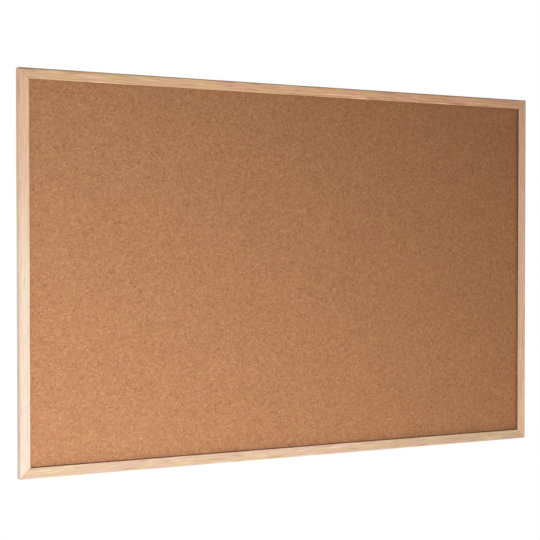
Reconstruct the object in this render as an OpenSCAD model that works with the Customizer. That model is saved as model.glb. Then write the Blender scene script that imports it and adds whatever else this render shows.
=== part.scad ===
// Framed cork bulletin board, landscape, hung on a wall by two D-rings.
//
// Axes: X runs along the board's width, Z is up, the pinning side faces -Y and the wall is on +Y.
// Origin: the middle of the top rail's rear face, which lies on the plane y = 0.
// The frame is one moulding, cut into four mitred lengths. A panel of cork, softboard and backing
// sits in its rebate, against the lip, and framer's points hold it in from behind.

/* [Board] */
// Outer width of the frame
board_w = 900; // [500:10:1200]
// Outer height of the frame
board_h = 600; // [400:10:900]
// Depth of the frame from wall side to front
frame_d = 15; // [15:0.5:22]

/* [Moulding] */
// Width of the moulding's front face
face_w = 16; // [15:0.5:24]
// Width of the rebate behind the lip
rebate_w = 6; // [5:0.5:6]
// Radius of the outer front edge
outer_r = 2.5; // [1:0.5:4]
// Radius of the inner front edge
sight_r = 0.8; // [0.4:0.1:1.2]
// Thickness of the lip at its inner edge
lip_t = 1.8; // [1.6:0.1:2.5]
// Distance from the front of the frame to the cork
cork_inset = 5.5; // [4.5:0.1:6]
// Width of the undercut behind the lip's inner edge
undercut_w = 3; // [2:0.5:3]
// Gap left at each mitre by the glue line
mitre_gap = 0.1; // [0:0.05:0.3]
// Width of the fine V that the eased arrises leave along each mitre
mitre_vee = 0.6; // [0.2:0.1:1]
// Radius of the outer rear edge
rear_r = 0.5; // [0.3:0.1:1]

/* [Panel] */
// Thickness of the cork sheet
cork_t = 2; // [1.5:0.5:3]
// Thickness of the softboard core
core_t = 5; // [4:0.5:5]
// Thickness of the backing sheet
backing_t = 1; // [0.8:0.1:1.2]
// Clearance between the panel and the rebate, on each side
panel_clear = 0.5; // [0.3:0.1:1]

/* [Corner nails] */
// Length of each leg of a V-nail
nail_leg = 5.5; // [4:0.5:6]
// Thickness of a V-nail's steel
nail_t = 0.6; // [0.4:0.1:0.8]
// Height of a V-nail, driven in from behind
nail_h = 9; // [7:1:9]

/* [Panel points] */
// Length of a point
point_l = 14; // [12:1:16]
// Width of a point
point_w = 6; // [5:0.5:8]
// Thickness of a point
point_t = 0.5; // [0.4:0.1:0.6]
// How far a point is driven into the wood
point_depth = 7; // [5:0.5:8]
// Points along each long side
points_long = 4; // [3:1:6]
// Points along each short side
points_short = 3; // [2:1:4]

/* [Hangers] */
// Distance of the ring's hinge below the top edge
hanger_drop = 120; // [60:5:160]
// Width of the strap
strap_w = 7; // [6.5:0.1:7]
// Thickness of the folded strap
strap_t = 1.2; // [1:0.1:1.2]
// Length of the strap below the hinge
strap_l = 26; // [25:1:34]
// Radius of the ring's wire
wire_r = 0.9; // [0.8:0.05:0.9]
// Angle at which the free ring leans on its strap
ring_lean = 5; // [5:1:12]

/* [Wall bumpers] */
// Radius of a bumper
bumper_r = 4.5; // [3.5:0.5:4.5]
// Height of a bumper
bumper_h = 3.5; // [3:0.5:5]
// Distance of a bumper from the side of the frame
bumper_inset = 40; // [30:5:80]

/* [Hidden] */
$fn = 48;
eps = 0.01;

// Colours
pine = [0.87, 0.73, 0.55];
cork = [0.70, 0.49, 0.33];
softboard = [0.62, 0.50, 0.36];
greyboard = [0.55, 0.50, 0.43];
zinc = [0.74, 0.75, 0.76];
spring_steel = [0.50, 0.52, 0.55];
black_rubber = [0.10, 0.10, 0.11];

// Frame
land_w = face_w - rebate_w;
top_z = land_w / 2;
centre_z = top_z - board_h / 2;
side_x = board_w / 2;
joint_cut = mitre_gap / sqrt(2);

// Panel, from the front backwards
cork_y = -frame_d + cork_inset;
core_y = cork_y + cork_t;
backing_y = core_y + core_t;
panel_back_y = backing_y + backing_t;
panel_w = board_w - 2 * (land_w + panel_clear);
panel_h = board_h - 2 * (land_w + panel_clear);

// Corner nails
nail_spread = 55;
nail_apex = 0.75 * land_w * sqrt(2);

// Hangers
ring_clear = 0.05;
knuckle_r = wire_r + ring_clear + 0.7;
hinge_y = knuckle_r;
hinge_z = top_z - hanger_drop;
hanger_x = side_x - land_w + strap_w / 2 + 0.2;
ring_bend_r = 1.6;
ring_half_w = strap_w / 2 + 0.1 + ring_bend_r;
ring_leg = 2.4;
ring_arc_z = -ring_bend_r - ring_leg;
screw_zs = [-14, -22];
strap_hole_r = 1.6;

// Screws
screw_r = 1.45;
screw_l = 10;
screw_tip = 2.5;
head_r = 2.7;
head_h = 1.6;
head_round = 0.8;
recess_d = 0.9;
recess_w = 0.7;
recess_l = 3;
pilot_r = screw_r + 0.05;

// Wall bumpers
bumper_round = 1;
bumper_z = top_z - board_h + land_w / 2;

// Half section of a round pad of radius r and height h whose upper edge is rounded.
module pad_section(r, h, edge_r) {
    square([r, h - edge_r]);
    square([r - edge_r, h]);
    intersection() {
        translate([r - edge_r, h - edge_r]) circle(edge_r);
        translate([0, h - edge_r]) square([r, edge_r]);
    }
}

// ---- Frame ----

// The sliver that a quarter round of radius r leaves outside it, in the corner at the origin.
module corner_sliver(r) {
    difference() {
        square(r);
        translate([r, r]) circle(r);
    }
}

// Section of the moulding. The first axis is depth: 0 at the back and -frame_d at the front. The
// second runs inwards from the outer edge at 0 to the lip's edge at -face_w.
module moulding_section() {
    lip_back = -frame_d + lip_t;
    difference() {
        translate([-frame_d, -face_w]) square([frame_d, face_w]);
        // rebate for the panel
        translate([cork_y, -face_w - 1]) square([frame_d, rebate_w + 1]);
        // undercut that leaves a dark gap between lip and cork
        translate([lip_back, -face_w - 1]) square([cork_y - lip_back + 1, undercut_w + 1]);
        // outer front, inner front and outer rear edges
        translate([-frame_d, 0]) mirror([0, 1]) corner_sliver(outer_r);
        translate([-frame_d, -face_w]) corner_sliver(sight_r);
        mirror([1, 0]) mirror([0, 1]) corner_sliver(rear_r);
    }
}

// Outline of one member in the board's plane, with a mitre at each end.
module mitre_outline(length) {
    half = length / 2 - joint_cut;
    polygon([
        [-half, 0],
        [half, 0],
        [half - face_w, -face_w],
        [-half + face_w, -face_w]
    ]);
}

// One mitred length of moulding along X, its outer edge at z = 0 and its inner edge below.
module member(length) {
    intersection() {
        translate([-length / 2, 0, 0])
            rotate([90, 0, 90])
                linear_extrude(length) moulding_section();
        translate([0, 1, 0])
            rotate([90, 0, 0])
                linear_extrude(frame_d + 2) mitre_outline(length);
    }
}

// Puts its children, drawn for a top rail, on side 0 top, 1 right, 2 bottom or 3 left.
module on_side(side) {
    reach = side % 2 == 0 ? board_h / 2 : side_x;
    translate([0, 0, centre_z])
        rotate([0, 90 * side, 0])
            translate([0, 0, reach]) children();
}

// Puts its children, drawn with +Z running inwards along a mitre, on the corner sx, sz of the back.
module at_corner(sx, sz) {
    translate([sx * side_x, 0, centre_z + sz * board_h / 2])
        mirror([sx < 0 ? 1 : 0, 0, 0])
            mirror([0, 0, sz < 0 ? 1 : 0])
                rotate([0, -135, 0]) children();
}

// The V that the eased arrises leave in the front along one mitre.
module mitre_vee_cut(sx, sz) {
    vee_side = mitre_vee / sqrt(2);
    at_corner(sx, sz)
        translate([0, -frame_d, -1])
            rotate(45)
                translate([-vee_side / 2, -vee_side / 2, 0]) cube([vee_side, vee_side, face_w * sqrt(2) + 2]);
}

// The wood of one side: the moulding, less the cuts for its nails, points and screws.
module frame_side(side) {
    along = side % 2 == 0 ? board_w : board_h;
    points = side % 2 == 0 ? points_long : points_short;
    color(pine)
        difference() {
            on_side(side) member(along);
            for (sx = [-1, 1])
                for (sz = [-1, 1]) {
                    mitre_vee_cut(sx, sz);
                    corner_nail_shape(sx, sz, 1);
                }
            points_shape(side, along, points);
            if (side % 2 == 1) hanger_pilot_holes(side == 1 ? 1 : -1);
        }
}

module frame_top_rail() { frame_side(0); }
module frame_right_stile() { frame_side(1); }
module frame_bottom_rail() { frame_side(2); }
module frame_left_stile() { frame_side(3); }

// ---- Panel ----

// One layer of the panel, its front at depth y.
module panel_layer(y, thickness) {
    translate([-panel_w / 2, y, centre_z - panel_h / 2]) cube([panel_w, thickness, panel_h]);
}

module cork_sheet() { color(cork) panel_layer(cork_y, cork_t); }
module softboard_core() { color(softboard) panel_layer(core_y, core_t); }
module backing_sheet() { color(greyboard) panel_layer(backing_y, backing_t); }

// ---- Corner nails ----

// A V-nail across one mitre, flush with the back: its apex points inwards and each leg stands in
// one member. As the cutter for its own slot it runs past the back by extra.
module corner_nail_shape(sx, sz, extra = 0) {
    at_corner(sx, sz)
        translate([0, extra, 0])
            rotate([90, 0, 0])
                linear_extrude(nail_h + extra) v_nail_outline();
}

// The V in the plane of the back, its mitre along +Y and the frame's corner at the origin.
module v_nail_outline() {
    leg = nail_leg * [sin(nail_spread), -cos(nail_spread)];
    across = nail_t * [-cos(nail_spread), -sin(nail_spread)];
    end = leg + across;
    translate([0, nail_apex])
        polygon([[0, 0], leg, end, [0, -nail_t / sin(nail_spread)], [-end.x, end.y], [-leg.x, leg.y]]);
}

module corner_nail(sx, sz) { color(spring_steel) corner_nail_shape(sx, sz); }
module corner_nail_top_left() { corner_nail(-1, 1); }
module corner_nail_top_right() { corner_nail(1, 1); }
module corner_nail_bottom_left() { corner_nail(-1, -1); }
module corner_nail_bottom_right() { corner_nail(1, -1); }

// ---- Framer's points ----

// One point seen from behind: a tab whose sharp end is driven outwards into the rebate's wall.
module point_outline() {
    half = point_w / 2;
    shoulder = point_depth - half;
    tail = point_depth - point_l;
    polygon([[-half, tail + 1], [1 - half, tail], [half - 1, tail], [half, tail + 1],
             [half, shoulder], [0, point_depth], [-half, shoulder]]);
}

// The row of points along one side, flat on the backing.
module points_shape(side, along, count) {
    pitch = along / count;
    on_side(side)
        for (i = [0 : count - 1])
            translate([(i - (count - 1) / 2) * pitch, panel_back_y + point_t, -land_w])
                rotate([90, 0, 0]) linear_extrude(point_t) point_outline();
}

module panel_points(side) {
    along = side % 2 == 0 ? board_w : board_h;
    color(spring_steel) points_shape(side, along, side % 2 == 0 ? points_long : points_short);
}
module panel_points_top() { panel_points(0); }
module panel_points_right() { panel_points(1); }
module panel_points_bottom() { panel_points(2); }
module panel_points_left() { panel_points(3); }

// ---- Hangers ----

// Puts its children, drawn around the ring's hinge axis, on the right (1) or left (-1) stile.
module at_hinge(sx) {
    translate([sx * hanger_x, hinge_y, hinge_z]) children();
}

// Puts its children at each screw of a strap, with +Z pointing out of the wood.
module at_screws(sx) {
    for (z = screw_zs)
        at_hinge(sx) translate([0, -hinge_y, z]) rotate([-90, 0, 0]) children();
}

// Folded strap: a plate with a round lower end, and a knuckle rolled around the ring's bar.
module hanger_strap(sx) {
    plate_l = strap_l - strap_w / 2;
    color(zinc)
        difference() {
            at_hinge(sx) {
                translate([-strap_w / 2, -hinge_y, -plate_l]) cube([strap_w, strap_t, plate_l]);
                translate([0, strap_t - hinge_y, -plate_l])
                    rotate([90, 0, 0]) cylinder(h = strap_t, r = strap_w / 2);
                translate([-strap_w / 2, 0, 0]) rotate([0, 90, 0]) cylinder(h = strap_w, r = knuckle_r);
            }
            at_hinge(sx)
                translate([-strap_w, 0, 0])
                    rotate([0, 90, 0]) cylinder(h = 2 * strap_w, r = wire_r + ring_clear);
            at_screws(sx) translate([0, 0, -1]) cylinder(h = strap_t + 2, r = strap_hole_r);
        }
}
module hanger_strap_left() { hanger_strap(-1); }
module hanger_strap_right() { hanger_strap(1); }

// Wire D in the XZ plane: a straight bar along X on the hinge axis, two bends, two legs and an arc.
module ring_wire() {
    bar_half = ring_half_w - ring_bend_r;
    translate([-bar_half, 0, 0]) rotate([0, 90, 0]) cylinder(h = 2 * bar_half, r = wire_r);
    for (side = [0, 1])
        mirror([side, 0, 0]) {
            translate([bar_half, 0, -ring_bend_r])
                rotate([90, 0, 0])
                    rotate_extrude(angle = 90) translate([ring_bend_r, 0]) circle(wire_r);
            translate([ring_half_w, 0, ring_arc_z]) cylinder(h = ring_leg, r = wire_r);
        }
    translate([0, 0, ring_arc_z])
        rotate([90, 0, 0])
            rotate([0, 0, 180])
                rotate_extrude(angle = 180) translate([ring_half_w, 0]) circle(wire_r);
}

// The free ring hangs from its bar and leans on the strap.
module d_ring(sx) {
    color(zinc)
        at_hinge(sx) rotate([ring_lean, 0, 0]) ring_wire();
}
module d_ring_left() { d_ring(-1); }
module d_ring_right() { d_ring(1); }

// Pan-head screw standing on the plane z = 0, with its shank below.
module pan_head_screw() {
    difference() {
        union() {
            rotate_extrude() pad_section(head_r, head_h, head_round);
            rotate_extrude()
                polygon([[0, eps], [screw_r, eps], [screw_r, screw_tip - screw_l], [0, -screw_l]]);
        }
        for (turn = [0, 90])
            rotate(turn)
                translate([-recess_l / 2, -recess_w / 2, head_h - recess_d])
                    cube([recess_l, recess_w, recess_d + 1]);
    }
}

module hanger_screws(sx) {
    color(zinc) at_screws(sx) translate([0, 0, strap_t]) pan_head_screw();
}
module hanger_screws_left() { hanger_screws(-1); }
module hanger_screws_right() { hanger_screws(1); }

// Pilot holes in a stile, each with the screw's pointed end.
module hanger_pilot_holes(sx) {
    at_screws(sx)
        translate([0, 0, strap_t])
            rotate_extrude()
                polygon([[0, 1], [pilot_r, 1], [pilot_r, screw_tip - screw_l], [0, -screw_l - 0.1]]);
}

// ---- Wall bumpers ----

// Rubber pad on the bottom rail, with its rear edge rounded.
module wall_bumper(sx) {
    color(black_rubber)
        translate([sx * (side_x - bumper_inset), 0, bumper_z])
            rotate([-90, 0, 0])
                rotate_extrude() pad_section(bumper_r, bumper_h, bumper_round);
}
module wall_bumper_left() { wall_bumper(-1); }
module wall_bumper_right() { wall_bumper(1); }

frame_top_rail();
frame_bottom_rail();
frame_left_stile();
frame_right_stile();
cork_sheet();
softboard_core();
backing_sheet();
corner_nail_top_left();
corner_nail_top_right();
corner_nail_bottom_left();
corner_nail_bottom_right();
panel_points_top();
panel_points_bottom();
panel_points_left();
panel_points_right();
hanger_strap_left();
hanger_strap_right();
d_ring_left();
d_ring_right();
hanger_screws_left();
hanger_screws_right();
wall_bumper_left();
wall_bumper_right();
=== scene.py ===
"""Looks of a framed cork bulletin board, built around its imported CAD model.

Metres, in the part's own frame: +X runs along the board, +Z is up, the cork faces -Y and the wall
is on +Y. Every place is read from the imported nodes.
"""
import math

from collections import namedtuple

import bpy
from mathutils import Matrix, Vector, noise


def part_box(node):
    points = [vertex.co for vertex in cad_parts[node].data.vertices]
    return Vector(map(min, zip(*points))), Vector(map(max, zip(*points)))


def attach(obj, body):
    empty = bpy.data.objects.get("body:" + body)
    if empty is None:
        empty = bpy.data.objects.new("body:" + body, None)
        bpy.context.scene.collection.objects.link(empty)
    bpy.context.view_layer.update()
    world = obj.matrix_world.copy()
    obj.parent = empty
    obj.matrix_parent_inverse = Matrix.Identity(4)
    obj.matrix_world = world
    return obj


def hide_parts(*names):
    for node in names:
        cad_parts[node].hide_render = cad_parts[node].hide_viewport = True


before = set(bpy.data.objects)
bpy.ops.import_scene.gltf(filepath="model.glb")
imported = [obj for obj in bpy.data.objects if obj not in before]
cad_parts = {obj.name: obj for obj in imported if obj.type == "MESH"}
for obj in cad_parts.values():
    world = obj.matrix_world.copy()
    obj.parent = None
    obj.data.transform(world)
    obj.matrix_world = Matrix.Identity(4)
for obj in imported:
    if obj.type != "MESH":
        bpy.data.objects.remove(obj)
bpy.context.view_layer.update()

MM = 0.001

# ---- Places ----

RAIL_LOW, RAIL_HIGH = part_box("frame_top_rail")
CORK_LOW, CORK_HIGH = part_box("cork_sheet")
HALF_W = RAIL_HIGH.x
HALF_H = (RAIL_HIGH.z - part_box("frame_bottom_rail")[0].z) / 2
CENTRE_Z = RAIL_HIGH.z - HALF_H
FRONT_Y = RAIL_LOW.y
FACE_W = RAIL_HIGH.z - RAIL_LOW.z
FRONT_CENTRE = Vector((0, FRONT_Y, CENTRE_Z))

# ---- Camera and light, relative to the middle of the board's front ----

CAMERA_FROM_CENTRE = Vector((-0.806, -1.660, 0.035))
CAMERA_YAW = math.radians(24.5)
CAMERA_PITCH = math.radians(-1.01)
CAMERA_LENS = 76.2

KEY_FROM_CENTRE = Vector((-0.60, -1.70, -0.42))
KEY_AIM = Vector((-0.92, 0, -1.41))
KEY_POWER = 185
KEY_RADIUS = 0.25
KEY_SPREAD = math.radians(178)
AMBIENT = 0.26
FLOOR_DROP = 1.45
FLOOR_RADIUS = 3.4
FLOOR_SIDES = 96
FLOOR_FADE = (0.35 * FLOOR_RADIUS, 0.98 * FLOOR_RADIUS)

# ---- Wood ----

PITH_DEPTH = 45 * MM
PITH_ASIDE = 70 * MM
UNDERCUT = 3 * MM
WOOD_BUMP = 0.06 * MM

LATE_WOOD = (0.34, 0.175, 0.080)
PORE_BROWN = (0.20, 0.10, 0.05)
GLUE_BROWN = (0.24, 0.16, 0.10)
# Painted shade for the rounded outer edge of the front.
EDGE_PAINTED_SHADE = (0.30, 0.19, 0.11)
# Painted shade for the lip's inner side and the undercut behind it.
UNDER_LIP_PAINTED_SHADE = (0.215, 0.088, 0.022)

# These multiply the wood's own colour.
YELLOW_PATCH = (0.985, 1.035, 0.93)
PINK_PATCH = (1.020, 0.965, 1.05)
DARK_STREAK = (0.60, 0.54, 0.48)
PALE_STREAK = (1.34, 1.46, 1.56)

# Each member is its own stick of wood: its grain starts elsewhere, runs its own way and has its own
# strength, edge is how much painted shade lies along its rounded outer edge, and its colour drifts
# from its left or bottom end (first) to the other end (last). Part of that drift is painted light:
# the ends nearest the brightly lit lower left are duller.
Stick = namedtuple("Stick", "upright start tilt ring_pitch figure edge first middle last")
STICKS = {
    "frame_top_rail": Stick(
        upright=False, start=3.1, tilt=0.014, ring_pitch=4.1 * MM, figure=1.15, edge=0.50,
        first=(0.592, 0.386, 0.228), middle=(0.686, 0.403, 0.236), last=(0.681, 0.372, 0.222)),
    "frame_bottom_rail": Stick(
        upright=False, start=7.7, tilt=-0.011, ring_pitch=3.6 * MM, figure=0.95, edge=0.10,
        first=(0.443, 0.310, 0.214), middle=(0.520, 0.360, 0.252), last=(0.521, 0.355, 0.230)),
    "frame_left_stile": Stick(
        upright=True, start=11.9, tilt=0.006, ring_pitch=5.2 * MM, figure=0.55, edge=0.30,
        first=(0.540, 0.416, 0.340), middle=(0.593, 0.473, 0.358), last=(0.601, 0.383, 0.247)),
    "frame_right_stile": Stick(
        upright=True, start=17.3, tilt=-0.008, ring_pitch=4.4 * MM, figure=0.75, edge=0.10,
        first=(0.644, 0.417, 0.273), middle=(0.661, 0.438, 0.293), last=(0.698, 0.428, 0.277)),
}

# ---- Cork ----

GRANULE = 2.1 * MM
CLUMP = 4.4 * MM
FLECK = 1.7 * MM
CORK_BUMP = 0.35 * MM
GRANULE_TONES = (
    (0.00, (0.286, 0.126, 0.057)),
    (0.30, (0.333, 0.150, 0.069)),
    (0.60, (0.364, 0.168, 0.079)),
    (1.00, (0.414, 0.197, 0.096)),
)
BARK_FLECK = (0.150, 0.059, 0.025)
PALE_FLECK = (0.530, 0.295, 0.155)
SEAM_BROWN = (0.190, 0.077, 0.032)
# Painted shade on the cork next to the right lip and under it.
RIGHT_LIP_PAINTED_SHADE = (0.075, 0.028, 0.011)

# These multiply the cork's own colour.
GREEN_CLOUD = (1.000, 1.012, 0.990)
RED_CLOUD = (1.000, 0.988, 1.010)
# Painted light: paler and yellower on the brightly lit left, darker and redder on the dimmer right.
LEFT_PAINTED_LIGHT = (1.014, 1.043, 1.072)
RIGHT_PAINTED_SHADE = (0.950, 0.924, 0.890)

# The relief is modelled on a grid of about 2.3 mm.
CORK_COLUMNS = 392
CORK_ROWS = 250
RELIEF = 0.22 * MM
BROAD_RELIEF_SIZE = 11 * MM
GRAIN_RELIEF_SIZE = 4.8 * MM


# ---- Material nodes ----

class Surface:
    """One material's node tree. Most methods add nodes and return the socket to use next."""

    def __init__(self, name):
        self.material = bpy.data.materials.new(name)
        self.material.use_nodes = True
        self.nodes = self.material.node_tree.nodes
        self.links = self.material.node_tree.links
        self.shader = self.nodes["Principled BSDF"]
        self.place = self.nodes.new("ShaderNodeTexCoord").outputs["Object"]

    def feed(self, socket, value):
        if isinstance(value, bpy.types.NodeSocket):
            self.links.new(value, socket)
        elif value is not None:
            socket.default_value = value

    def math(self, operation, first, second=None, third=None):
        node = self.nodes.new("ShaderNodeMath")
        node.operation = operation
        for socket, value in zip(node.inputs, (first, second, third)):
            self.feed(socket, value)
        return node.outputs["Value"]

    def split(self, vector):
        node = self.nodes.new("ShaderNodeSeparateXYZ")
        self.feed(node.inputs["Vector"], vector)
        return node.outputs["X"], node.outputs["Y"], node.outputs["Z"]

    def join(self, x, y, z):
        node = self.nodes.new("ShaderNodeCombineXYZ")
        for socket, value in zip(node.inputs, (x, y, z)):
            self.feed(socket, value)
        return node.outputs["Vector"]

    def scaled(self, vector, scale):
        node = self.nodes.new("ShaderNodeVectorMath")
        node.operation = "MULTIPLY"
        self.feed(node.inputs[0], vector)
        node.inputs[1].default_value = scale
        return node.outputs["Vector"]

    def shifted(self, vector, offset):
        node = self.nodes.new("ShaderNodeVectorMath")
        node.operation = "ADD"
        self.feed(node.inputs[0], vector)
        self.feed(node.inputs[1], offset)
        return node.outputs["Vector"]

    def noise(self, vector, scale=1.0, detail=2.0, roughness=0.5):
        node = self.nodes.new("ShaderNodeTexNoise")
        self.feed(node.inputs["Vector"], vector)
        node.inputs["Scale"].default_value = scale
        node.inputs["Detail"].default_value = detail
        node.inputs["Roughness"].default_value = roughness
        return node.outputs["Fac"]

    def wander(self, vector, scale, amount):
        """The vector moved about by noise, up to half of amount each way."""
        node = self.nodes.new("ShaderNodeTexNoise")
        self.feed(node.inputs["Vector"], vector)
        node.inputs["Scale"].default_value = scale
        moved = self.shifted(node.outputs["Color"], (-0.5, -0.5, -0.5))
        return self.shifted(vector, self.scaled(moved, (amount, amount, amount)))

    def cells(self, vector, size):
        """Voronoi cells about size across: the distance from their middle, and a random value for each."""
        node = self.nodes.new("ShaderNodeTexVoronoi")
        self.feed(node.inputs["Vector"], vector)
        node.inputs["Scale"].default_value = 1 / size
        return node.outputs["Distance"], self.split(node.outputs["Color"])[0]

    def cell_seams(self, vector, size):
        """The distance from the seams between the same cells."""
        node = self.nodes.new("ShaderNodeTexVoronoi")
        node.feature = "DISTANCE_TO_EDGE"
        self.feed(node.inputs["Vector"], vector)
        node.inputs["Scale"].default_value = 1 / size
        return node.outputs["Distance"]

    def spread(self, value, low, high, to_low=0.0, to_high=1.0, smooth=True):
        """Maps low..high to to_low..to_high, and holds the ends."""
        node = self.nodes.new("ShaderNodeMapRange")
        node.interpolation_type = "SMOOTHSTEP" if smooth else "LINEAR"
        self.feed(node.inputs["Value"], value)
        bounds = {"From Min": low, "From Max": high, "To Min": to_low, "To Max": to_high}
        for name, bound in bounds.items():
            node.inputs[name].default_value = bound
        return node.outputs["Result"]

    def ramp(self, value, stops):
        node = self.nodes.new("ShaderNodeValToRGB")
        elements = node.color_ramp.elements
        while len(elements) < len(stops):
            elements.new(1)
        for element, (position, colour) in zip(elements, stops):
            element.position = position
            element.color = (*colour, 1)
        self.feed(node.inputs["Fac"], value)
        return node.outputs["Color"]

    def mix(self, factor, first, second, blend="MIX"):
        node = self.nodes.new("ShaderNodeMix")
        node.data_type = "RGBA"
        node.blend_type = blend
        self.feed(node.inputs["Factor"], factor)
        colour_inputs = [socket for socket in node.inputs if socket.type == "RGBA"]
        for socket, colour in zip(colour_inputs, (first, second)):
            self.feed(socket, colour if isinstance(colour, bpy.types.NodeSocket) else (*colour, 1))
        return next(socket for socket in node.outputs if socket.type == "RGBA")

    def tint(self, colour, by):
        """The colour multiplied by another colour."""
        return self.mix(1.0, colour, by, "MULTIPLY")

    def tone(self, colour, value):
        """The colour multiplied by a value."""
        return self.tint(colour, self.join(value, value, value))

    def bump(self, height, depth):
        """Bump whose full height is depth metres."""
        node = self.nodes.new("ShaderNodeBump")
        node.inputs["Distance"].default_value = depth
        self.feed(node.inputs["Height"], height)
        return node.outputs["Normal"]

    def finish(self, colour, roughness, normal, metallic=0.0, specular=0.5):
        self.feed(self.shader.inputs["Base Color"], colour)
        self.feed(self.shader.inputs["Roughness"], roughness)
        self.feed(self.shader.inputs["Normal"], normal)
        self.shader.inputs["Metallic"].default_value = metallic
        self.shader.inputs["Specular IOR Level"].default_value = specular
        return self.material


# ---- Materials ----

def from_outer_edge(s):
    """How far a point of the frame lies inwards from the top or bottom edge, and from a side edge."""
    x, _, z = s.split(s.place)
    from_side = s.math("SUBTRACT", HALF_W, s.math("ABSOLUTE", x))
    from_top = s.math("SUBTRACT", HALF_H, s.math("ABSOLUTE", s.math("SUBTRACT", z, CENTRE_Z)))
    return from_top, from_side


def growth_rings(s, grain, pitch):
    """Growth rings around a pith beside the moulding: 0 in the pale wood, 1 in the dark late wood."""
    _, depth, across = s.split(grain)
    uneven = s.noise(s.scaled(grain, (2, 60, 140)), detail=1)
    dy = s.math("SUBTRACT", depth, PITH_DEPTH)
    dz = s.math("MULTIPLY_ADD", uneven, 3 * MM, s.math("ADD", across, PITH_ASIDE))
    radius = s.math("SQRT", s.math("ADD", s.math("MULTIPLY", dy, dy), s.math("MULTIPLY", dz, dz)))
    turn = s.math("FRACT", s.math("DIVIDE", radius, pitch))
    late = s.spread(turn, 0.45, 0.86)
    early = s.spread(turn, 0.88, 0.99, 1, 0)
    return s.math("MULTIPLY", late, early)


def wood_grain(s, stick):
    """Coordinates that run with the fibres: along the stick, into its depth, across its face."""
    x, y, z = s.split(s.place)
    length, across = (z, x) if stick.upright else (x, z)
    length = s.math("ADD", length, stick.start)
    bend = s.noise(s.join(length, 0, 0), 6, detail=1)
    across = s.math("MULTIPLY_ADD", length, stick.tilt, across)
    across = s.math("MULTIPLY_ADD", bend, 9 * MM, across)
    return s.join(length, y, across)


def wood_tone(s, stick):
    """The stick's colour, drifting along its length, partly as painted light."""
    x, _, z = s.split(s.place)
    if stick.upright:
        along = s.spread(z, CENTRE_Z - HALF_H, CENTRE_Z + HALF_H)
    else:
        along = s.spread(x, -HALF_W, HALF_W)
    return s.ramp(along, ((0, stick.first), (0.5, stick.middle), (1, stick.last)))


def with_patches(s, stick, colour, patch):
    """Yellow and pink patches."""
    tint = s.mix(s.spread(patch, 0.38, 0.62), YELLOW_PATCH, PINK_PATCH)
    return s.mix(stick.figure, colour, s.tint(colour, tint))


def with_rings(s, stick, colour, grain, rings):
    """Late wood that shows more in some stretches of the stick than in others."""
    strength = s.spread(s.noise(s.scaled(grain, (6, 40, 110)), detail=1), 0.3, 0.7, 0.10, 0.42)
    strength = s.math("MULTIPLY", strength, stick.figure)
    return s.mix(s.math("MULTIPLY", rings, strength), colour, LATE_WOOD)


def with_streaks(s, stick, colour, grain):
    """Long dark streaks, and pale ones over them."""
    dark = s.noise(s.scaled(grain, (28, 190, 430)), detail=2)
    dark = s.spread(dark, 0.53, 0.72, 0, 0.66 * stick.figure)
    colour = s.mix(dark, colour, s.tint(colour, DARK_STREAK))
    pale = s.noise(s.shifted(s.scaled(grain, (24, 160, 380)), (40, 7, 3)), detail=2)
    pale = s.spread(pale, 0.53, 0.72, 0, 0.60 * stick.figure)
    return s.mix(pale, colour, s.tint(colour, PALE_STREAK))


def with_glue_lines(s, colour, from_top, from_side):
    """A thin, uneven line of glue in each mitre."""
    mitre = s.math("ABSOLUTE", s.math("SUBTRACT", from_top, from_side))
    glue = s.spread(s.noise(s.place, 260, detail=1), 0.40, 0.60, 0.12, 0.50)
    line = s.math("MULTIPLY", s.spread(mitre, 0.15 * MM, 0.55 * MM, 1, 0), glue)
    return s.mix(line, colour, GLUE_BROWN)


def with_painted_edge_shade(s, stick, colour, patch, inset, depth):
    """Painted shade along the rounded outer edge of the front, uneven along the stick."""
    by_edge = s.spread(inset, 0.8 * MM, 3.2 * MM, 1, 0)
    by_front = s.spread(depth, 2 * MM, 5 * MM, 1, 0)
    edge_shade = s.spread(patch, 0.3, 0.7, 0.6 * stick.edge, stick.edge)
    return s.mix(s.math("MULTIPLY", s.math("MULTIPLY", by_edge, by_front), edge_shade), colour, EDGE_PAINTED_SHADE)


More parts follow.
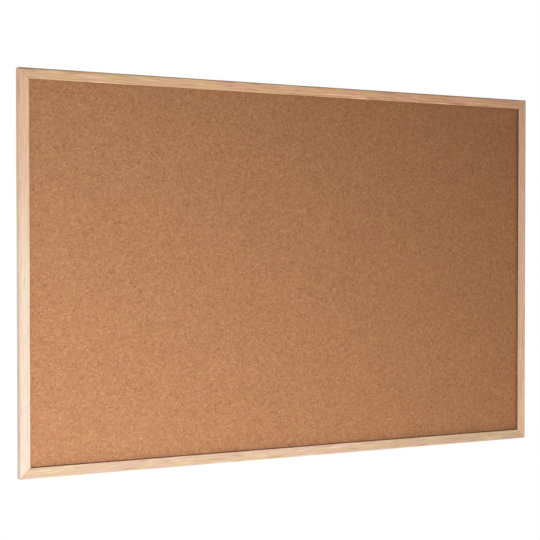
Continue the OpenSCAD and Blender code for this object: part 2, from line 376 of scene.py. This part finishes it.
def wood_material(name, stick):
    """Pale softwood: patches, rings, streaks and pores, mitre glue, painted shade along the rounded outer
    edge, and painted shade on the side under the lip.
    """
    s = Surface(name)
    grain = wood_grain(s, stick)
    rings = growth_rings(s, grain, stick.ring_pitch)
    fibre = s.noise(s.scaled(grain, (14, 420, 700)), detail=3, roughness=0.6)
    patch = s.noise(s.scaled(grain, (24, 90, 240)), detail=2)
    pores = s.spread(s.noise(s.scaled(grain, (170, 1600, 2600)), detail=1), 0.66, 0.78)

    colour = with_patches(s, stick, wood_tone(s, stick), patch)
    colour = with_rings(s, stick, colour, grain, rings)
    colour = s.tone(colour, s.spread(fibre, 0.25, 0.75, 0.93, 1.07, smooth=False))
    colour = with_streaks(s, stick, colour, grain)
    colour = s.mix(s.math("MULTIPLY", pores, 0.45), colour, PORE_BROWN)

    from_top, from_side = from_outer_edge(s)
    inset = s.math("MINIMUM", from_top, from_side)
    depth = s.math("SUBTRACT", s.split(s.place)[1], FRONT_Y)
    colour = with_glue_lines(s, colour, from_top, from_side)
    colour = with_painted_edge_shade(s, stick, colour, patch, inset, depth)

    # Painted shade: deeper than 1.1 mm from the front, the lip's inner side and the undercut are coloured
    # dark, as their shadow.
    behind_lip = s.spread(depth, 0.5 * MM, 1.1 * MM)
    in_undercut = s.spread(inset, FACE_W - UNDERCUT - 0.6 * MM, FACE_W - UNDERCUT - 0.1 * MM)
    lip_painted_shade = s.math("MULTIPLY", behind_lip, in_undercut)
    colour = s.mix(lip_painted_shade, colour, UNDER_LIP_PAINTED_SHADE)

    height = s.math("ADD", s.math("MULTIPLY", fibre, 0.6), s.math("MULTIPLY", rings, 0.25))
    height = s.math("SUBTRACT", height, s.math("MULTIPLY", pores, 0.8))
    roughness = s.spread(fibre, 0.2, 0.8, 0.42, 0.60, smooth=False)
    roughness = s.math("MAXIMUM", roughness, s.math("MULTIPLY", lip_painted_shade, 0.95))
    return s.finish(colour, roughness, s.bump(height, WOOD_BUMP), specular=0.15)


def granule_colour(s, bent, shade):
    """Granules and clumps of different tone, bark flecks, pale flecks, and a seam around each granule."""
    _, clump_shade = s.cells(bent, CLUMP)
    shade = s.math("ADD", s.math("MULTIPLY", shade, 0.80), s.math("MULTIPLY", clump_shade, 0.20))
    colour = s.ramp(shade, GRANULE_TONES)
    torn = s.scaled(s.wander(s.place, 330, 5 * MM), (0.65, 1, 1.3))
    _, fleck = s.cells(torn, FLECK)
    colour = s.mix(s.spread(fleck, 0.935, 0.955, 0, 0.50), colour, BARK_FLECK)
    colour = s.mix(s.spread(fleck, 0.05, 0.08, 0.50, 0), colour, PALE_FLECK)
    return s.mix(s.spread(s.cell_seams(bent, GRANULE), 0.0, 0.08, 0.36, 0), colour, SEAM_BROWN)


def with_clouds(s, colour):
    """Soft clouds of tone and of hue."""
    broad = s.noise(s.place, 28, detail=3)
    cloud = s.noise(s.shifted(s.place, (3, 0, 5)), 45, detail=2)
    colour = s.tone(colour, s.spread(broad, 0.25, 0.75, 0.98, 1.02, smooth=False))
    return s.tint(colour, s.mix(s.spread(cloud, 0.35, 0.65), GREEN_CLOUD, RED_CLOUD))


def with_painted_falloff_and_lip_shade(s, colour):
    """Painted light, paler and yellower on the lit left and darker and redder on the right, and painted
    shade along the right lip.
    """
    x, _, _ = s.split(s.place)
    along = s.spread(x, -HALF_W, HALF_W, smooth=False)
    colour = s.tint(colour, s.mix(along, LEFT_PAINTED_LIGHT, RIGHT_PAINTED_SHADE))
    # Painted shade on the cork from under the right lip to 4 mm in front of it.
    to_right_lip = s.math("SUBTRACT", HALF_W - FACE_W, x)
    return s.mix(s.spread(to_right_lip, -0.5 * MM, 4.0 * MM, 0.18, 0), colour, RIGHT_LIP_PAINTED_SHADE)


def cork_material():
    """Fine agglomerated cork: pressed granules, a few flecks between them, and soft clouds of tone."""
    s = Surface("cork_granules")
    bent = s.wander(s.place, 500, 2.2 * MM)
    dome, shade = s.cells(bent, GRANULE)
    fine = s.noise(s.place, 2400, detail=3, roughness=0.65)
    colour = granule_colour(s, bent, shade)
    colour = s.tone(colour, s.spread(fine, 0.2, 0.8, 0.86, 1.14, smooth=False))
    colour = with_painted_falloff_and_lip_shade(s, with_clouds(s, colour))
    height = s.math("SUBTRACT", s.math("MULTIPLY", fine, 0.5), s.math("MULTIPLY", dome, 0.8))
    roughness = s.spread(fine, 0.2, 0.8, 0.78, 0.95, smooth=False)
    return s.finish(colour, roughness, s.bump(height, CORK_BUMP), specular=0.10)


def softboard_material():
    """Matted wood fibre."""
    s = Surface("softboard_fibre")
    fibre = s.noise(s.wander(s.place, 300, 3 * MM), 900, detail=4, roughness=0.7)
    clump = s.noise(s.place, 120, detail=2)
    colour = s.mix(s.spread(clump, 0.3, 0.7), (0.30, 0.20, 0.11), (0.40, 0.28, 0.16))
    colour = s.tone(colour, s.spread(fibre, 0.2, 0.8, 0.75, 1.2, smooth=False))
    return s.finish(colour, s.spread(fibre, 0.2, 0.8, 0.85, 1.0), s.bump(fibre, 0.3 * MM), specular=0.2)


def greyboard_material():
    """Pressed recycled board: a grey-brown ground with loose fibres and specks of ink."""
    s = Surface("greyboard_paper")
    pulp = s.noise(s.place, 700, detail=4, roughness=0.7)
    cloud = s.noise(s.place, 9, detail=4, roughness=0.6)
    hair = s.noise(s.scaled(s.wander(s.place, 60, 12 * MM), (160, 160, 2600)), detail=1)
    _, speck = s.cells(s.wander(s.place, 1800, 0.6 * MM), 1.2 * MM)
    colour = s.mix(s.spread(cloud, 0.3, 0.7), (0.250, 0.215, 0.165), (0.310, 0.270, 0.210))
    colour = s.tone(colour, s.spread(pulp, 0.2, 0.8, 0.86, 1.12, smooth=False))
    colour = s.mix(s.spread(hair, 0.68, 0.76, 0, 0.5), colour, (0.45, 0.40, 0.33))
    colour = s.mix(s.spread(speck, 0.984, 0.992, 0, 0.6), colour, (0.08, 0.07, 0.07))
    return s.finish(colour, s.spread(pulp, 0.2, 0.8, 0.80, 0.95), s.bump(pulp, 0.12 * MM), specular=0.25)


def steel_material(name, dark, light, rough_low, rough_high):
    """Steel with drawn lines, clouding in its plating and dull spots where it was handled."""
    s = Surface(name)
    cloud = s.noise(s.place, 260, detail=4, roughness=0.6)
    drawn = s.noise(s.scaled(s.place, (9000, 9000, 500)), detail=2)
    spot = s.noise(s.place, 1500, detail=2)
    colour = s.mix(s.spread(cloud, 0.3, 0.7), dark, light)
    colour = s.tone(colour, s.spread(drawn, 0.3, 0.7, 0.92, 1.05, smooth=False))
    rough = s.spread(cloud, 0.25, 0.75, rough_low, rough_high, smooth=False)
    rough = s.math("ADD", rough, s.spread(spot, 0.58, 0.72, 0, 0.22))
    return s.finish(colour, rough, s.bump(drawn, 0.01 * MM), metallic=1.0)


def rubber_material():
    """Moulded black rubber with a fine matt skin and a little dust."""
    s = Surface("moulded_rubber")
    skin = s.noise(s.place, 5000, detail=3, roughness=0.6)
    dust = s.noise(s.place, 420, detail=3)
    colour = s.mix(s.spread(dust, 0.45, 0.75, 0, 0.35), (0.018, 0.018, 0.020), (0.085, 0.080, 0.075))
    return s.finish(colour, s.spread(dust, 0.3, 0.7, 0.60, 0.82), s.bump(skin, 0.04 * MM), specular=0.4)


def dress(material, *names):
    for name in names:
        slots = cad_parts[name].data.materials
        slots.clear()
        slots.append(material)


def dress_frame():
    for name, stick in STICKS.items():
        dress(wood_material(name + "_wood", stick), name)


def dress_hardware():
    zinc = steel_material("zinc_plate", (0.50, 0.51, 0.53), (0.68, 0.69, 0.70), 0.24, 0.40)
    spring = steel_material("spring_steel", (0.20, 0.215, 0.24), (0.33, 0.34, 0.36), 0.38, 0.54)
    rubber = rubber_material()
    for side in ("left", "right"):
        dress(zinc, "hanger_strap_" + side, "d_ring_" + side, "hanger_screws_" + side)
        dress(rubber, "wall_bumper_" + side)
        dress(spring, "corner_nail_top_" + side, "corner_nail_bottom_" + side)
    for side in ("top", "bottom", "left", "right"):
        dress(spring, "panel_points_" + side)


# ---- Cork sheet ----

def cork_relief(x, z):
    """How far the pressed surface lies behind its highest granules."""
    broad = noise.noise(Vector((x / BROAD_RELIEF_SIZE, z / BROAD_RELIEF_SIZE, 0.3)))
    grains = noise.noise(Vector((x / GRAIN_RELIEF_SIZE, z / GRAIN_RELIEF_SIZE, 5.1)))
    return RELIEF * min(1, max(0, 0.5 + 0.18 * broad + 0.65 * grains))


def cork_front():
    """The front's points, row by row from its lower left corner, and the faces between them."""
    width = CORK_HIGH.x - CORK_LOW.x
    height = CORK_HIGH.z - CORK_LOW.z
    across = CORK_COLUMNS + 1
    points = []
    for row in range(CORK_ROWS + 1):
        z = CORK_LOW.z + height * row / CORK_ROWS
        for column in range(across):
            x = CORK_LOW.x + width * column / CORK_COLUMNS
            points.append((x, CORK_LOW.y + cork_relief(x, z), z))
    faces = []
    for row in range(CORK_ROWS):
        for column in range(CORK_COLUMNS):
            first = row * across + column
            faces.append((first, first + 1, first + 1 + across, first + across))
    return points, faces


def cork_rim():
    """The indices of the front's outermost points, once around from its lower left corner."""
    across = CORK_COLUMNS + 1
    bottom = list(range(across))
    right = [row * across + CORK_COLUMNS for row in range(1, CORK_ROWS + 1)]
    top = [CORK_ROWS * across + column for column in range(CORK_COLUMNS - 1, -1, -1)]
    left = [row * across for row in range(CORK_ROWS - 1, 0, -1)]
    return bottom + right + top + left


def cork_mesh():
    """The sheet as one closed mesh: a smooth-shaded front of pressed granules, plain edges, a flat back."""
    points, faces = cork_front()
    pressed = len(faces)
    rim = cork_rim()
    back = list(range(len(points), len(points) + len(rim)))
    points += [(points[i][0], CORK_HIGH.y, points[i][2]) for i in rim]
    for i in range(len(rim)):
        j = (i + 1) % len(rim)
        faces.append((rim[j], rim[i], back[i], back[j]))
    faces.append(tuple(reversed(back)))
    mesh = bpy.data.meshes.new("cork_surface")
    mesh.from_pydata(points, [], faces)
    mesh.polygons.foreach_set("use_smooth", [i < pressed for i in range(len(faces))])
    return mesh


def cork_sheet():
    mesh = cork_mesh()
    mesh.materials.append(cork_material())
    sheet = bpy.data.objects.new("cork_surface", mesh)
    bpy.context.scene.collection.objects.link(sheet)
    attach(sheet, "board")
    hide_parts("cork_sheet")


# ---- Studio ----

def add_camera():
    data = bpy.data.cameras.new("camera")
    data.lens = CAMERA_LENS
    camera = bpy.data.objects.new("camera", data)
    camera.location = FRONT_CENTRE + CAMERA_FROM_CENTRE
    camera.rotation_euler = (math.pi / 2 + CAMERA_PITCH, 0, -CAMERA_YAW)
    bpy.context.scene.collection.objects.link(camera)
    bpy.context.scene.camera = camera


def place_light(name, data, from_centre, aim):
    light = bpy.data.objects.new(name, data)
    light.location = FRONT_CENTRE + from_centre
    light.rotation_euler = (aim - from_centre).to_track_quat("-Z", "Y").to_euler()
    light.visible_camera = False
    bpy.context.scene.collection.objects.link(light)


def add_key_light():
    """A soft lamp in front, aimed past the lower left corner, so the light falls off up the board."""
    data = bpy.data.lights.new("key", "SPOT")
    data.energy = KEY_POWER
    data.shadow_soft_size = KEY_RADIUS
    data.spot_size = KEY_SPREAD
    data.spot_blend = 1
    place_light("key", data, KEY_FROM_CENTRE, KEY_AIM)


def add_softbox(name, from_centre, size, power):
    data = bpy.data.lights.new(name, "AREA")
    data.shape = "DISK"
    data.size = size
    data.energy = power
    place_light(name, data, from_centre, Vector((0, 0, 0)))


def add_world():
    """White behind the board, and a faint even light everywhere."""
    world = bpy.data.worlds.new("studio")
    world.use_nodes = True
    tree = world.node_tree
    seen = tree.nodes["Background"]
    seen.inputs["Color"].default_value = (1, 1, 1, 1)
    cast = tree.nodes.new("ShaderNodeBackground")
    cast.inputs["Color"].default_value = (1, 1, 1, 1)
    cast.inputs["Strength"].default_value = AMBIENT
    path = tree.nodes.new("ShaderNodeLightPath")
    blend = tree.nodes.new("ShaderNodeMixShader")
    tree.links.new(path.outputs["Is Camera Ray"], blend.inputs["Fac"])
    tree.links.new(cast.outputs["Background"], blend.inputs[1])
    tree.links.new(seen.outputs["Background"], blend.inputs[2])
    tree.links.new(blend.outputs["Shader"], tree.nodes["World Output"].inputs["Surface"])
    bpy.context.scene.world = world


def floor_material():
    """Pale matt floor that fades to the white of the background at its rim."""
    s = Surface("pale_floor")
    s.shader.inputs["Base Color"].default_value = (0.90, 0.90, 0.89, 1)
    s.shader.inputs["Roughness"].default_value = 0.9
    x, y, _ = s.split(s.place)
    reach = s.math("SQRT", s.math("ADD", s.math("MULTIPLY", x, x), s.math("MULTIPLY", y, y)))
    fade = s.spread(reach, *FLOOR_FADE)
    clear = s.nodes.new("ShaderNodeBsdfTransparent")
    blend = s.nodes.new("ShaderNodeMixShader")
    s.feed(blend.inputs["Fac"], fade)
    s.links.new(s.shader.outputs["BSDF"], blend.inputs[1])
    s.links.new(clear.outputs["BSDF"], blend.inputs[2])
    s.links.new(blend.outputs["Shader"], s.nodes["Material Output"].inputs["Surface"])
    return s.material


def add_floor():
    """A round floor at the height it has under a hung board."""
    turns = [2 * math.pi * i / FLOOR_SIDES for i in range(FLOOR_SIDES)]
    level = CENTRE_Z - FLOOR_DROP
    points = [(FLOOR_RADIUS * math.cos(t), FLOOR_RADIUS * math.sin(t), level) for t in turns]
    mesh = bpy.data.meshes.new("floor")
    mesh.from_pydata(points, [], [tuple(range(FLOOR_SIDES))])
    mesh.materials.append(floor_material())
    floor = bpy.data.objects.new("floor", mesh)
    bpy.context.scene.collection.objects.link(floor)


bpy.context.scene.view_settings.view_transform = "Standard"
add_camera()
add_world()
add_key_light()
add_softbox("side_light", Vector((-2.2, 0.75, -0.3)), size=1.2, power=30)
add_softbox("far_side_light", Vector((2.2, 0.75, 0.3)), size=1.2, power=18)
add_softbox("rear_light", Vector((0.7, 2.2, 0.8)), size=1.6, power=60)
add_floor()
dress_frame()
dress_hardware()
dress(softboard_material(), "softboard_core")
dress(greyboard_material(), "backing_sheet")
cork_sheet()
